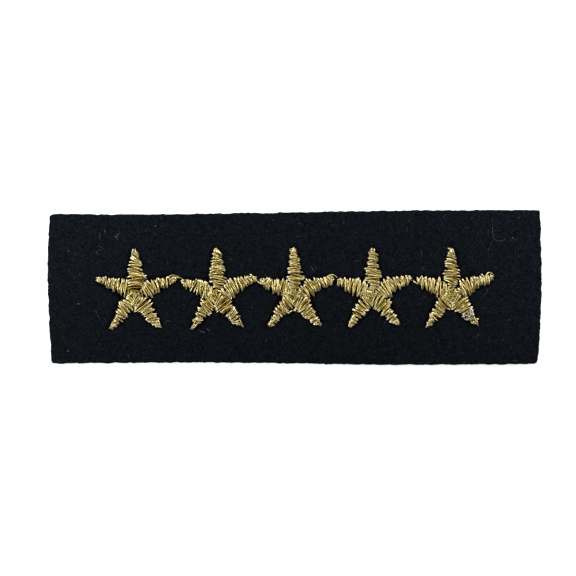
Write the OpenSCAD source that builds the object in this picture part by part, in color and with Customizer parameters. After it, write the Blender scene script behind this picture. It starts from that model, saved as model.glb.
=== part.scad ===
// Embroidered patch: a strip of dark felt with a row of five stars worked in
// gold thread. Each star is five arms of satin stitch that meet at its middle.
// The strip lies on its back in the XY plane, with +X along its length, +Y
// towards the stars' top arms and +Z out of the embroidered face. The origin is
// the middle of the back face.

/* [Felt] */
// Length of the felt strip
felt_length = 118.6; // [112:0.1:130]
// Height of the felt strip, at its taller end
felt_height = 37.2; // [32:0.1:46]
// Thickness of the felt
felt_thick = 1.6; // [1.2:0.1:3]
// Roundness of the strip's cut corners
corner_round = 0.8; // [0.2:0.1:3]

/* [Stars] */
// Distance from one star's middle to the next
star_pitch = 19.05; // [19:0.05:20]
// How far the row of stars sits below the middle of the felt
star_drop = 1.25; // [0:0.05:4]
// Size of the stars, where 1 is the real one
star_scale = 1; // [0.8:0.01:1]

/* [Stitching] */
// Height of the satin stitch above the felt's face
satin_rise = 0.75; // [0.4:0.05:1.2]
// Depth to which the stitching presses the felt down
press_depth = 0.35; // [0.1:0.05:0.6]
// Room between an arm and the felt beside it, and between two arms
arm_gap = 0.1; // [0.06:0.01:0.2]

/* [Hidden] */
// The strip's corners, anticlockwise, each with the side that leaves it. The
// corner is a share of the half length and half height. The side bows outwards,
// and sways out and then in, by so many mm.
SIDES = [
    [-0.985, -0.985, -0.05, -0.3],
    [0.985, -0.985, 0.67, 0.05],
    [0.995, 0.99, -0.05, 0.22],
    [-0.993, 0.94, 0.7, 0.05],
];
X_SHARE = 0;
Y_SHARE = 1;
BOW = 2;
SWAY = 3;
SIDE_STEPS = 14;
CORNER_STEPS = 4;

ARM_NAMES = ["top", "upper_left", "lower_left", "lower_right", "upper_right"];

// Where the middle of each star drifted from its even place, in mm.
// Columns: along X, along Y.
STAR_DRIFT = [
    [0.1, -0.15],
    [0.6, -0.15],
    [0.4, 0.05],
    [0.05, 0.05],
    [-0.05, 0.05],
];

// Bearing of each arm, in degrees anticlockwise from +X, a row for each star.
// Columns: top, upper left, lower left, lower right, upper right.
BEARING = [
    [92.5, 160.7, 233.4, 305.6, 380.5],
    [93.1, 161.1, 234.2, 307.0, 381.6],
    [93.2, 162.9, 230.0, 306.9, 380.9],
    [91.9, 162.7, 233.9, 308.0, 381.3],
    [92.5, 159.2, 231.8, 307.0, 381.7],
];

// Length of each arm from the star's middle, in mm, in the same columns.
REACH = [
    [10.9, 10.5, 10.7, 10.0, 10.4],
    [11.0, 9.6, 10.6, 9.8, 10.2],
    [10.8, 9.7, 10.6, 9.6, 9.9],
    [10.8, 9.6, 10.4, 9.8, 9.9],
    [10.8, 9.6, 10.7, 9.8, 10.6],
];

// Width of an arm to the left and to the right of the line from its star's middle
// to its tip, in mm. A pair of rows for each arm name, and a column for each share
// of the reach below.
LEFT = 0;
RIGHT = 1;
HALF_WIDTH = [
    [[2.3, 1.95, 1.6, 1.2, 0.4], [2.15, 1.7, 1.45, 1.15, 0.45]],
    [[1.9, 1.75, 1.4, 1.0, 0.3], [2.2, 2.15, 1.7, 1.2, 0.4]],
    [[1.6, 1.2, 1.1, 0.85, 0.35], [2.4, 2.05, 1.65, 1.0, 0.4]],
    [[2.1, 1.55, 1.2, 0.85, 0.3], [2.3, 1.95, 1.75, 1.35, 0.55]],
    [[2.3, 2.15, 1.75, 1.4, 0.55], [1.9, 1.45, 1.1, 0.95, 0.35]],
];
WIDTH_SHARES = [0.3, 0.45, 0.6, 0.8, 1];

// Height of an arm's crown as a share of the highest, along its reach.
// Columns: share of the reach, share of the height.
CROWN = [[0, 0.8], [0.25, 0.95], [0.45, 1], [0.75, 0.92], [0.93, 0.75], [1, 0.45]];

STARS = len(STAR_DRIFT);
ARMS = len(ARM_NAMES);
ARM_SECTIONS = 12;
CROWN_POINTS = 8;
// Where an arm starts, measured from its star's middle.
arm_start = 0.5;
// A satin arm is fuller than an ellipse across its width.
crown_fullness = 0.75;
// The arms' undersides rest this far clear of the pressed felt.
seat_gap = 0.03;
pocket_floor = felt_thick - press_depth;
// The hollows are cut from this far above the felt's face.
cut_over = 1;

function arm_node(s, a) = str("star_", s + 1, "_arm_", ARM_NAMES[a]);

// The strip's sides and corners are counted on past the last to the first.
function cut_side(i) = SIDES[i % len(SIDES)];
function corner(i) =
    [
        cut_side(i)[X_SHARE] * felt_length / 2,
        cut_side(i)[Y_SHARE] * felt_height / 2
    ];

// A point on a side of the strip, at a share t of the way from its corner.
function side_point(i, t) =
    let (
        along = (corner(i + 1) - corner(i)) / norm(corner(i + 1) - corner(i)),
        outward = [along[1], -along[0]],
        push = cut_side(i)[BOW] * 4 * t * (1 - t) + cut_side(i)[SWAY] * sin(360 * t)
    )
    corner(i) + (corner(i + 1) - corner(i)) * t + outward * push;

// The share of a side that its rounded corner takes.
function round_share(i) = corner_round / norm(corner(i + 1) - corner(i));

// The rounded corner where side i starts, as a curve from the side before it.
function corner_point(i, t) =
    let (
        last = i + len(SIDES) - 1,
        before = side_point(last, 1 - round_share(last)),
        after = side_point(i, round_share(i))
    )
    before * (1 - t) * (1 - t) + corner(i) * 2 * t * (1 - t) + after * t * t;

function raw_outline() = [
    for (i = [0:len(SIDES) - 1]) each concat(
        [for (k = [0:CORNER_STEPS - 1]) corner_point(i, k / CORNER_STEPS)],
        [
            for (k = [0:SIDE_STEPS])
                let (c = round_share(i))
                side_point(i, c + (1 - 2 * c) * k / (SIDE_STEPS + 1))
        ]
    )
];

// The outline, moved and stretched to fill the named length and height exactly.
function felt_outline() =
    let (
        raw = raw_outline(),
        xs = [for (p = raw) p[0]],
        ys = [for (p = raw) p[1]],
        low = [min(xs), min(ys)],
        span = [max(xs) - low[0], max(ys) - low[1]]
    )
    [
        for (p = raw) [
            ((p[0] - low[0]) / span[0] - 0.5) * felt_length,
            ((p[1] - low[1]) / span[1] - 0.5) * felt_height
        ]
    ];

function star_middle(s) =
    [(s - (STARS - 1) / 2) * star_pitch, -star_drop] + STAR_DRIFT[s];

function reach(s, a) = REACH[s][a] * star_scale;

// Notch a of a star lies between arm a and the next arm anticlockwise.
function notch(a, side) = side == LEFT ? a : (a + ARMS - 1) % ARMS;

// Half the angle between the arms beside notch n, which is also the angle between
// either arm and the line that parts them.
function notch_angle(s, n) =
    let (turn = n == ARMS - 1 ? 360 : 0)
    (BEARING[s][(n + 1) % ARMS] + turn - BEARING[s][n]) / 2;

// The width of an arm on one side at a distance u from its star's middle, before
// its neighbours narrow it.
function free_half(s, a, side, u) =
    star_scale * lookup(
        u / reach(s, a),
        [
            for (k = [0:len(WIDTH_SHARES) - 1])
                [WIDTH_SHARES[k], HALF_WIDTH[a][side][k]]
        ]
    );

// The same, kept clear of the line that parts it from its neighbour.
function clear_half(s, a, side, u) =
    let (h = notch_angle(s, notch(a, side)))
    min(free_half(s, a, side, u), u * tan(h) - arm_gap / 2 / cos(h));

// The distance of section k of an arm from its star's middle.
function section_u(s, a, k) =
    arm_start + (reach(s, a) - arm_start) * k / (ARM_SECTIONS - 1);

// One section of an arm: a row of points over its crown, from right to left.
function arm_section(s, a, k) =
    let (
        u = section_u(s, a, k),
        left = clear_half(s, a, LEFT, u),
        right = clear_half(s, a, RIGHT, u),
        rise = (satin_rise + press_depth - seat_gap) * lookup(u / reach(s, a), CROWN)
    )
    [
        for (j = [0:CROWN_POINTS - 1])
            let (turn = 180 * j / (CROWN_POINTS - 1))
            [
                u,
                (left - right) / 2 - cos(turn) * (left + right) / 2,
                rise * pow(max(0, sin(turn)), crown_fullness)
            ]
    ];

// Faces that join rings of n points side to side, and close the first and last.
function ring_walls(rings, n) = [
    for (k = [0:rings - 2])
        for (j = [0:n - 1])
            let (a = k * n + j, b = k * n + (j + 1) % n)
            each [[a, b, b + n], [a, b + n, a + n]]
];
function ring_caps(rings, n) =
    let (last = (rings - 1) * n)
    [
        for (j = [1:n - 2]) each [
            [0, j + 1, j],
            [last, last + j, last + j + 1]
        ]
    ];

module satin_arm(s, a) {
    points = [for (k = [0:ARM_SECTIONS - 1]) each arm_section(s, a, k)];
    faces = concat(
        ring_walls(ARM_SECTIONS, CROWN_POINTS),
        ring_caps(ARM_SECTIONS, CROWN_POINTS)
    );
    color("darkgoldenrod")
        translate([star_middle(s)[0], star_middle(s)[1], pocket_floor + seat_gap])
            rotate([0, 0, BEARING[s][a]])
                polyhedron(points, faces, convexity = 4);
}

// A point beside an arm: at distance u along it, and v to its left.
function beside_arm(s, a, u, v) =
    let (b = BEARING[s][a])
    star_middle(s) + [u * cos(b) - v * sin(b), u * sin(b) + v * cos(b)];

// The first section at which an arm's hollow stands clear of the line that parts it
// from its neighbour.
function side_clear(s, a, side) = [
    for (k = [0:ARM_SECTIONS - 1])
        let (u = section_u(s, a, k), room = u * tan(notch_angle(s, notch(a, side))))
        if (room > free_half(s, a, side, u) + 2 * arm_gap) k
][0];

// The first section at which the hollows beside notch n part.
function first_clear(s, n) =
    max(side_clear(s, n, LEFT), side_clear(s, (n + 1) % ARMS, RIGHT));

// The places beside an arm, from its notch to its tip, where its hollow's edge runs.
function hollow_side(s, a, side) = [
    for (k = [first_clear(s, notch(a, side)):ARM_SECTIONS - 1])
        let (
            u = section_u(s, a, k),
            v = free_half(s, a, side, u) + arm_gap
        )
        beside_arm(s, a, u, side == LEFT ? v : -v)
];
function backwards(points) = [for (k = [len(points) - 1:-1:0]) points[k]];

// The hollow that the stitching presses into the felt, a little wider than the
// arms, as one outline round the whole star.
function hollow_outline(s) = [
    for (a = [0:ARMS - 1])
        let (tip = reach(s, a))
        each concat(
            hollow_side(s, a, RIGHT),
            [
                beside_arm(s, a, tip + arm_gap, -free_half(s, a, RIGHT, tip)),
                beside_arm(s, a, tip + arm_gap, free_half(s, a, LEFT, tip))
            ],
            backwards(hollow_side(s, a, LEFT))
        )
];

module felt_ground() {
    color("midnightblue")
        difference() {
            linear_extrude(height = felt_thick)
                polygon(felt_outline());
            for (s = [0:STARS - 1])
                translate([0, 0, pocket_floor])
                    linear_extrude(height = press_depth + cut_over)
                        polygon(hollow_outline(s));
        }
}

felt_ground();
for (s = [0:STARS - 1])
    for (a = [0:ARMS - 1])
        satin_arm(s, a);
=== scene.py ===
"""Embroidered patch: a strip of dark felt with a row of five stars in gold thread.

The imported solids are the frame. The felt is a softened copy of its solid, and
each star arm is one thread that goes up through the felt, over the arm and down
again, row after row, as the satin stitch is sewn. Bobbin thread holds the rows
on the back. Every size is in metres unless a name or a comment says mm.
"""

from __future__ import annotations

import logging
import math
import random
from collections.abc import Iterator
from contextlib import contextmanager
from dataclasses import dataclass, field, replace
from enum import Enum

import bpy
import numpy as np
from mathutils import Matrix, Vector

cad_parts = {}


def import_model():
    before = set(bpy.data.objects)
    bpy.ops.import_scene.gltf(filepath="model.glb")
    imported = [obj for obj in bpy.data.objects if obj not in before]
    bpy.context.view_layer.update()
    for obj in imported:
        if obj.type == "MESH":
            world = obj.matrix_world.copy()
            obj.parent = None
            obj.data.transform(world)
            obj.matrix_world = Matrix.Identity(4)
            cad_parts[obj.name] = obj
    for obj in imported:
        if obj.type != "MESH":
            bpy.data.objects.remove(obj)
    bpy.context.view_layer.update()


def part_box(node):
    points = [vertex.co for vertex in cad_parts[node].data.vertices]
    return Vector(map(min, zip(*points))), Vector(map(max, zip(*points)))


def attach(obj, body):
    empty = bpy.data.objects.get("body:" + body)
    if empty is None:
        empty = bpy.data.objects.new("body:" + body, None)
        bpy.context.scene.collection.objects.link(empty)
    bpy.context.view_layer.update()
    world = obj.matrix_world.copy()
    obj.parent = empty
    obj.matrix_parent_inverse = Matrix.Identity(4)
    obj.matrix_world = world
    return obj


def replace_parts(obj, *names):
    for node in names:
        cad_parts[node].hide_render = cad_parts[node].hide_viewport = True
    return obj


LOG = logging.getLogger("patch")
MM = 0.001

Colour = tuple[float, float, float]
Point = tuple[float, float, float]
Span = tuple[float, float]
Piece = bpy.types.Object
Material = bpy.types.Material
Tree = bpy.types.NodeTree
Socket = bpy.types.NodeSocket
Values = dict[str | int, object]


class Slot(Enum):
    """The record's material slots."""

    FELT = "felt"
    GOLD = "gold_thread"
    WHITE = "white_thread"


class Arm(Enum):
    """The arms of a star, by the names of their solids."""

    TOP = "top"
    UPPER_LEFT = "upper_left"
    LOWER_LEFT = "lower_left"
    LOWER_RIGHT = "lower_right"
    UPPER_RIGHT = "upper_right"


class Side(Enum):
    """The two edges of an arm, seen along it from the star's middle."""

    LEFT = 1
    RIGHT = -1


class Kind(Enum):
    """The kinds of node group."""

    SHADER = "ShaderNodeTree"
    GEOMETRY = "GeometryNodeTree"


class Sketch:
    """Adds nodes to one shader or geometry tree and joins them.

    An input is given as a constant, or as another node's output.
    """

    def __init__(self, tree: Tree) -> None:
        """Keeps the tree that the nodes go into."""
        self.tree = tree

    def fill(self, node: bpy.types.Node, values: Values) -> None:
        """Fills a node's inputs.

        Args:
            node: The node.
            values: The inputs, by name or number.
        """
        for key, value in values.items():
            if isinstance(value, Socket):
                self.tree.links.new(value, node.inputs[key])
            else:
                node.inputs[key].default_value = value

    def add(self, kind: str, values: Values | None = None, **settings: object) -> bpy.types.Node:
        """Adds one node.

        Args:
            kind: The node's type name.
            values: Its inputs, by name or number.
            settings: Its own settings, by attribute name.

        Returns:
            The new node.
        """
        node = self.tree.nodes.new(kind)
        for name, value in settings.items():
            setattr(node, name, value)
        self.fill(node, values or {})
        return node

    def out(self, kind: str, values: Values | None = None, **settings: object) -> Socket:
        """Adds one node and returns its first output."""
        return self.add(kind, values, **settings).outputs[0]

    def math(self, operation: str, *terms: object) -> Socket:
        """Returns the result of an operation on numbers or outputs."""
        return self.out("ShaderNodeMath", dict(enumerate(terms)), operation=operation)

    def mix(self, share: Socket, first: object, second: object) -> Socket:
        """Returns a mix of two colours, the first one at share 0."""
        return self.add("ShaderNodeMix", {0: share, 6: first, 7: second}, data_type="RGBA").outputs[2]

    def part(self, vector: Socket, axis: int) -> Socket:
        """Returns the part of a vector along X, Y or Z, which are 0, 1 and 2."""
        return self.add("ShaderNodeSeparateXYZ", {0: vector}).outputs[axis]

    def ramp(self, value: Socket, low: object, high: object, first: float = 0.0, last: float = 1.0) -> Socket:
        """Returns a number that goes from first to last while the value goes from low to high."""
        ends = {"From Min": low, "From Max": high, "To Min": first, "To Max": last}
        return self.out("ShaderNodeMapRange", {"Value": value, **ends})

    def store(self, geometry: Socket, name: str, value: Socket, kind: str = "FLOAT") -> Socket:
        """Returns the geometry with a value stored on it by name."""
        values = {"Geometry": geometry, "Name": name, "Value": value}
        return self.out("GeometryNodeStoreNamedAttribute", values, data_type=kind)

    def end(self, values: Values) -> Tree:
        """Adds the group's output node and returns the group."""
        self.add("NodeGroupOutput", values)
        return self.tree


SOCKETS = {Kind.SHADER: "NodeSocketFloat", Kind.GEOMETRY: "NodeSocketGeometry"}


def new_group(
    kind: Kind, name: str, inputs: tuple[str, ...], outputs: tuple[str, ...]
) -> tuple[Sketch, bpy.types.NodeOutputs]:
    """Starts a node group, with numbers as its inputs and outputs, or geometry.

    Args:
        kind: The kind of group.
        name: Its name.
        inputs: Its inputs' names.
        outputs: Its outputs' names.

    Returns:
        A sketch of its nodes, and what goes into it.
    """
    sketch = Sketch(bpy.data.node_groups.new(name, kind.value))
    for way, names in (("INPUT", inputs), ("OUTPUT", outputs)):
        for socket in names:
            sketch.tree.interface.new_socket(socket, in_out=way, socket_type=SOCKETS[kind])
    return sketch, sketch.add("NodeGroupInput").outputs


MOTTLE_INPUTS = ("Clump", "Grain", "Share", "Low", "High")


def fibre_mottle_group() -> Tree:
    """Makes the group that mottles cloth: clumps of dyed fibres and fine grain.

    Returns:
        A shader group. It takes Clump and Grain, the sizes of both, Share, how
        much the clumps count, and Low and High, the noise that gives 0 and 1. It
        puts out Mottle, from 0 to 1, and Relief, a height.
    """
    sketch, given = new_group(Kind.SHADER, "fibre_mottle", MOTTLE_INPUTS, ("Mottle", "Relief"))
    place = sketch.add("ShaderNodeTexCoord").outputs["Object"]
    noise = []
    for size, detail in (("Grain", 2.0), ("Clump", 3.0)):
        scale = sketch.math("DIVIDE", 1.0, given[size])
        values = {"Vector": place, "Scale": scale, "Detail": detail, "Roughness": 0.6}
        noise.append(sketch.out("ShaderNodeTexNoise", values))
    both = sketch.out("ShaderNodeMix", {0: given["Share"], 2: noise[0], 3: noise[1]}, data_type="FLOAT")
    return sketch.end({"Mottle": sketch.ramp(both, given["Low"], given["High"]), "Relief": both})


def light_falloff_group() -> Tree:
    """Makes the group of painted light that makes the felt paler towards its ends and its upper edge.

    Returns:
        A shader group. It takes Length, half the strip's length, Ends, how much paler it is there, and Rise,
        how much paler for each metre along +Y. It puts out one factor of painted light for the colour.
    """
    sketch, given = new_group(Kind.SHADER, "felt_light_falloff", ("Length", "Ends", "Rise"), ("Lit",))
    place = sketch.add("ShaderNodeTexCoord").outputs["Object"]
    reach = sketch.math("DIVIDE", sketch.part(place, 0), given["Length"])
    ends = sketch.math("MULTIPLY_ADD", sketch.math("MULTIPLY", reach, reach), given["Ends"], 1.0)
    return sketch.end({"Lit": sketch.math("MULTIPLY_ADD", sketch.part(place, 1), given["Rise"], ends)})


# The names of what the threads and the felt carry for their finishes.
THREAD_ALONG = "along"
THREAD_AROUND = "around"
THREAD_DIVE = "dive"
FELT_PRESSED = "pressed"


def wrap_group() -> Tree:
    """Makes the group that winds a thread: fine edges that run round it on a slant.

    Returns:
        A shader group. It takes Pitch, the distance from one turn to the next,
        and puts out Wrap, from 0 to 1, highest on the face of a turn.
    """
    sketch, given = new_group(Kind.SHADER, "thread_wrap", ("Pitch",), ("Wrap",))
    along = sketch.add("ShaderNodeAttribute", attribute_name=THREAD_ALONG).outputs["Fac"]
    around = sketch.add("ShaderNodeAttribute", attribute_name=THREAD_AROUND).outputs["Vector"]
    turn = sketch.math("ARCTAN2", sketch.part(around, 1), sketch.part(around, 0))
    phase = sketch.math("MULTIPLY_ADD", sketch.math("DIVIDE", along, given["Pitch"]), math.tau, turn)
    wave = sketch.math("MULTIPLY_ADD", sketch.math("SINE", phase), 0.5, 0.5)
    fullness = 0.4
    return sketch.end({"Wrap": sketch.math("POWER", wave, fullness)})


def rgba(colour: Colour) -> tuple[float, float, float, float]:
    """Returns the colour with full alpha."""
    return (*colour, 1.0)


class Look(Sketch):
    """A new material, and the nodes of its principled shader."""

    def __init__(self, name: str) -> None:
        """Makes the material with a bare shader.

        Args:
            name: The material's name.
        """
        self.material = bpy.data.materials.new(name)
        self.material.use_nodes = True
        super().__init__(self.material.node_tree)
        self.tree.nodes.clear()
        self.shader = self.add("ShaderNodeBsdfPrincipled")
        self.add("ShaderNodeOutputMaterial", {"Surface": self.shader.outputs[0]})

    def mottled(
        self, group: Tree, clump: float, grain: float, share: float = 0.45, ends: Span = (0.40, 0.62)
    ) -> bpy.types.NodeOutputs:
        """Adds the mottle group, with its inputs in their order, and returns its outputs."""
        values = dict(zip(MOTTLE_INPUTS, (clump, grain, share, *ends)))
        return self.add("ShaderNodeGroup", values, node_tree=group).outputs

    def carried(self, name: str) -> Socket:
        """Returns a number that the mesh carries by name."""
        return self.add("ShaderNodeAttribute", attribute_name=name).outputs["Fac"]

    def upward(self) -> Socket:
        """Returns how far the surface faces up, from -1 to 1."""
        return self.part(self.add("ShaderNodeTexCoord").outputs["Normal"], 2)

    def bump(self, height: Socket, relief: float) -> Socket:
        """Returns the normal of a surface with a relief."""
        return self.out("ShaderNodeBump", {"Height": height, "Distance": relief, "Strength": 1.0})

    def finish(self, values: Values) -> Material:
        """Fills the shader's inputs and returns the material."""
        self.fill(self.shader, values)
        return self.material


@dataclass(frozen=True)
class FeltFinish:
    """Matt felt: fibres of two dyes, felted into soft clumps.

    The dye drifts slowly from blue to green. Painted light makes the felt paler towards its ends and its
    upper edge. Painted shade makes it darker on its cut edge, where it faces sideways, and round the
    stitching, where the stitching presses on it.
    """

    name: str = "navy_felt"
    deep: Colour = (0.0009, 0.0013, 0.0019)
    pale: Colour = (0.0089, 0.0119, 0.0170)
    blue: Colour = (1.0, 0.98, 1.08)
    green: Colour = (0.94, 1.03, 0.94)
    clump: float = 1.0 * MM
    grain: float = 0.35 * MM
    clump_share: float = 0.2
    mottle_ends: Span = (0.39, 0.76)
    hue_drift: float = 24 * MM
    relief: float = 0.06 * MM
    rough: float = 0.95
    gloss: float = 0.04
    bloom: float = 0.02
    bloom_rough: float = 0.5
    bloom_tint: Colour = (0.7, 0.8, 1.0)
    half_length: float = 59 * MM
    # Painted light: the felt is made paler towards its ends and along +Y.
    lit_ends: float = 0.30
    lit_rise: float = 8.0
    # Painted shade on the cut edge, which faces sideways: full below the first upward slope, gone above the
    # second.
    edge_slopes: Span = (0.2, 0.85)
    side_painted_shade: float = 0.35
    # Painted shade round the stitching, where the stitching presses on the felt.
    pressed_from: Span = (0.45, 1.0)
    stitch_painted_shade: float = 0.65

    def make(self, mottle: Tree, light_falloff: Tree) -> Material:
        """Makes the material.

        Args:
            mottle: The group that mottles cloth.
            light_falloff: The group of painted light on the felt.

        Returns:
            The material.
        """
        look = Look(self.name)
        cloth = look.mottled(mottle, self.clump, self.grain, self.clump_share, self.mottle_ends)
        body = look.mix(cloth["Mottle"], rgba(self.deep), rgba(self.pale))
        drift = look.mottled(mottle, self.hue_drift, self.hue_drift / 2)
        dye = look.mix(drift["Mottle"], rgba(self.blue), rgba(self.green))
        # Painted light, paler towards the ends and the upper edge.
        sizes = {"Length": self.half_length, "Ends": self.lit_ends, "Rise": self.lit_rise}
        tone_and_shade = look.out("ShaderNodeGroup", sizes, node_tree=light_falloff)
        # Painted shade: darker where the surface faces sideways, as on the cut edge.
        face = look.ramp(look.upward(), *self.edge_slopes, self.side_painted_shade)
        # Painted shade round the stitching, from how hard it presses there.
        stitch_shadow = look.ramp(look.carried(FELT_PRESSED), *self.pressed_from, 1.0, self.stitch_painted_shade)
        shade = look.math("MULTIPLY", tone_and_shade, look.math("MULTIPLY", face, stitch_shadow))
        dyed = look.out("ShaderNodeVectorMath", {0: body, 1: dye}, operation="MULTIPLY")
        values = {
            "Base Color": look.out("ShaderNodeVectorMath", {0: dyed, 3: shade}, operation="SCALE"),
            "Normal": look.bump(cloth["Relief"], self.relief),
            "Roughness": self.rough,
            "Specular IOR Level": self.gloss,
            "Sheen Weight": self.bloom,
            "Sheen Roughness": self.bloom_rough,
            "Sheen Tint": rgba(self.bloom_tint),
        }
        return look.finish(values)


@dataclass(frozen=True)
class ThreadFinish:
    """Embroidery thread, wound on a slant.

    Painted shade gives its flanks, which lie sideways against the next thread, a deep tone, and darkens the
    grooves between the turns of its winding. Its back, which faces up, has the plain tone, which drifts from
    cool to warm. Where a stitch bends down to its hole, a painted highlight makes it pale.
    """

    name: str
    deep: Colour
    cool: Colour
    warm: Colour
    pale: Colour
    metallic: float
    rough: float
    rough_drift: float
    coat: float
    coat_rough: float = 0.2
    coat_index: float = 1.5
    coat_flank: float = 0.25
    rim: Colour = (1.0, 1.0, 1.0)
    wrap_pitch: float = 0.32 * MM
    wrap_relief: float = 0.006 * MM
    # Painted shade in the grooves between the turns of the winding.
    wrap_shade: float = 0.18
    drift: float = 2.2 * MM
    hue_drift: float = 3.5 * MM
    # Painted shade of the flanks: full where the surface faces up less than flank, gone where it faces up
    # more than back.
    flank: float = 0.5
    back: float = 0.92
    patchy: float = 0.26
    # Painted highlight where a stitch bends down to its hole: the slopes over which it comes in, and its
    # share.
    bend_highlight_from: Span = (0.12, 0.6)
    bend_highlight: float = 0.6

    def make(self, wrap: Tree, mottle: Tree) -> Material:
        """Makes the material.

        Args:
            wrap: The group that winds a thread.
            mottle: The group that mottles cloth, here the drift of the colour.

        Returns:
            The material.
        """
        look = Look(self.name)
        winding = look.out("ShaderNodeGroup", {"Pitch": self.wrap_pitch}, node_tree=wrap)
        patches = look.mottled(mottle, self.drift, self.drift / 2)["Mottle"]
        # Painted shade: the flanks, which face sideways between the threads, take the deep tone.
        flanks = {"Value": look.upward(), "From Min": self.flank, "From Max": self.back}
        height = look.out("ShaderNodeMapRange", flanks, interpolation_type="SMOOTHSTEP")
        # Painted shade in the grooves between the turns of the winding, and random patches, both darken the
        # tone towards the deep one.
        groove_shade = look.math("MULTIPLY_ADD", winding, self.wrap_shade, 1 - self.wrap_shade)
        tone_and_shade = look.math("MULTIPLY_ADD", look.math("MULTIPLY", patches, groove_shade), self.patchy, 1 - self.patchy)
        hues = look.mottled(mottle, self.hue_drift, self.hue_drift / 2)["Mottle"]
        plain = look.mix(hues, rgba(self.cool), rgba(self.warm))
        body = look.mix(look.math("MULTIPLY", height, tone_and_shade), rgba(self.deep), plain)
        # Painted highlight: pale where a stitch bends down to its hole and still faces up.
        bent = look.ramp(look.carried(THREAD_DIVE), *self.bend_highlight_from, 0.0, self.bend_highlight)
        least = self.coat * self.coat_flank
        values = {
            "Base Color": look.mix(look.math("MULTIPLY", bent, height), body, rgba(self.pale)),
            "Roughness": look.math("MULTIPLY_ADD", patches, -self.rough_drift, self.rough),
            "Normal": look.bump(winding, self.wrap_relief),
            "Metallic": self.metallic,
            "Specular Tint": rgba(self.rim),
            "Coat Weight": look.math("MULTIPLY_ADD", height, self.coat - least, least),
            "Coat Roughness": self.coat_rough,
            "Coat IOR": self.coat_index,
        }
        return look.finish(values)


@dataclass(frozen=True)
class PaperFinish:
    """The plain pale floor: white paper with a little glow of its own."""

    shade: Colour = (0.9, 0.9, 0.9)
    rough: float = 0.9
    glow: float = 0.8

    def make(self) -> Material:
        """Returns the material."""
        plain = {"Base Color": rgba(self.shade), "Roughness": self.rough, "Specular IOR Level": 0.0}
        lit = {"Emission Color": rgba(self.shade), "Emission Strength": self.glow}
        return Look("pale_floor").finish({**plain, **lit})


@dataclass
class Finishes:
    """All the materials, each made once."""

    felt: Material
    nap: Material
    lint: Material
    gold: Material
    # The gold darkened by painted shade, for the first pass.
    under: Material
    white: Material
    floor: Material

    @classmethod
    def make(cls) -> Finishes:
        """Makes the finishes of the whole patch and its floor.

        Returns:
            The finishes.
        """
        nap = FeltFinish(
            "felt_fibre", (0.008, 0.010, 0.014), (0.040, 0.046, 0.056), relief=0.02 * MM, side_painted_shade=1.0
        )
        lint = replace(nap, name="pale_lint", deep=(0.06, 0.065, 0.07), pale=(0.24, 0.25, 0.26))
        gold = ThreadFinish(
            name="gold_thread",
            # deep: the painted shade of the flanks.
            deep=(0.19, 0.108, 0.004),
            cool=(0.66, 0.53, 0.036),
            warm=(0.74, 0.52, 0.052),
            # pale: the painted highlight where a stitch bends down.
            pale=(0.95, 0.97, 0.82),
            metallic=0.75,
            rough=0.41,
            rough_drift=0.12,
            coat=1.0,
            coat_rough=0.24,
            coat_index=2.55,
            rim=(1.0, 0.85, 0.35),
        )
        # Painted shade: the first pass is a darker copy of the gold, for the shade of the stitches over it.
        under = replace(
            gold,
            name="gold_thread_under",
            deep=(0.08, 0.045, 0.003),
            cool=(0.46, 0.34, 0.026),
            warm=(0.48, 0.30, 0.036),
            rough=0.5,
            coat=0.1,
            # A weaker painted highlight at the bends.
            bend_highlight=0.4,
        )
        white = ThreadFinish(
            name="white_thread",
            # deep: the painted shade of the flanks.
            deep=(0.36, 0.37, 0.40),
            cool=(0.72, 0.74, 0.78),
            warm=(0.76, 0.76, 0.78),
            # pale: the painted highlight where a stitch bends down.
            pale=(0.92, 0.93, 0.95),
            metallic=0.0,
            rough=0.42,
            rough_drift=0.1,
            coat=0.4,
        )
        mottle, wrap, light_falloff = fibre_mottle_group(), wrap_group(), light_falloff_group()
        felts = (finish.make(mottle, light_falloff) for finish in (FeltFinish(), nap, lint))
        threads = (finish.make(wrap, mottle) for finish in (gold, under, white))
        return cls(*felts, *threads, PaperFinish().make())


def new_object(name: str, data: bpy.types.ID) -> Piece:
    """Puts a new object into the scene.

    Args:
        name: The object's name.
        data: Its mesh, curve, light or camera.

    Returns:
        The object.
    """
    piece = bpy.data.objects.new(name, data)
    bpy.context.scene.collection.objects.link(piece)
    return piece


def select_only(*pieces: Piece) -> None:
    """Selects some objects alone and makes the first of them the active one.

    Args:
        pieces: The objects.
    """
    bpy.ops.object.select_all(action="DESELECT")
    for piece in pieces:
        piece.select_set(True)
    bpy.context.view_layer.objects.active = pieces[0]


@contextmanager
def editing(piece: Piece) -> Iterator[None]:
    """Opens a piece in edit mode, with its whole mesh selected, and closes it at the end.

    Args:
        piece: The piece.
    """
    select_only(piece)
    bpy.ops.object.mode_set(mode="EDIT")
    bpy.ops.mesh.select_all(action="SELECT")
    yield
    bpy.ops.object.mode_set(mode="OBJECT")


def apply_modifier(piece: Piece, kind: str, **settings: object) -> None:
    """Adds a modifier to a piece and applies it at once.

    Args:
        piece: The piece.
        kind: The modifier's type.
        settings: The modifier's settings, by attribute name.
    """
    select_only(piece)
    bpy.ops.object.modifier_add(type=kind)
    modifier = piece.modifiers[-1]
    for name, value in settings.items():
        setattr(modifier, name, value)
    bpy.ops.object.modifier_apply(modifier=modifier.name)


def copy_of_node(node: str, name: str) -> Piece:
    """Copies a solid's mesh into a new object and merges its loose triangles.

    Args:
        node: The solid's name.
        name: The new object's name.

    Returns:
        The new object, at the origin.
    """
    piece = new_object(name, bpy.data.objects[node].data.copy())
    piece.data.name = name
    piece.data.materials.clear()
    with editing(piece):
        bpy.ops.mesh.remove_doubles(threshold=0.001 * MM)
    return piece


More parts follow.
